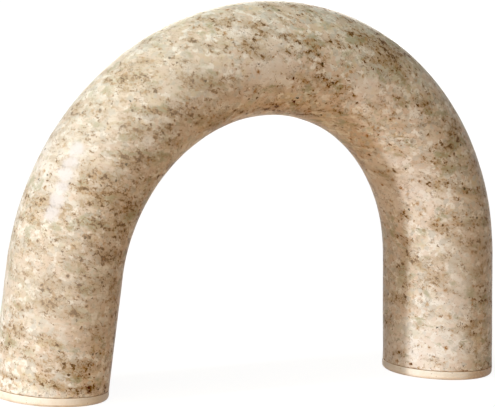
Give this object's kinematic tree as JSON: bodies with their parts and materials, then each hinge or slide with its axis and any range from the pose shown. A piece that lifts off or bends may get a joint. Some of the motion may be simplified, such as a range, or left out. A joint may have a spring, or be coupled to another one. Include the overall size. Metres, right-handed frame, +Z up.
{
  "type": "stone arch sculpture",
  "caption": "Freestanding carved stone arch of round section, a horseshoe bend on short splayed legs, each leg standing on a thin round base disc.",
  "frame": {"origin": "on the floor, midway between the two feet", "axes": "+X from the left foot to the right foot, +Y straight through the archway away from the front, +Z up"},
  "size_m": [1.3196, 0.2618, 0.8812],
  "materials": {
    "speckled_granite": "honed and waxed, cream to tan with bands of dark specks",
    "mortar": "rust-brown bedding mortar, struck flush and rough",
    "cream_limestone": "honed, plain pale cream"
  },
  "bodies": {
    "root": {"arch_ring": "speckled_granite", "left_mortar_bed": "mortar", "right_mortar_bed": "mortar", "left_base_disc": "cream_limestone", "right_base_disc": "cream_limestone"}
  },
  "joints": []
}
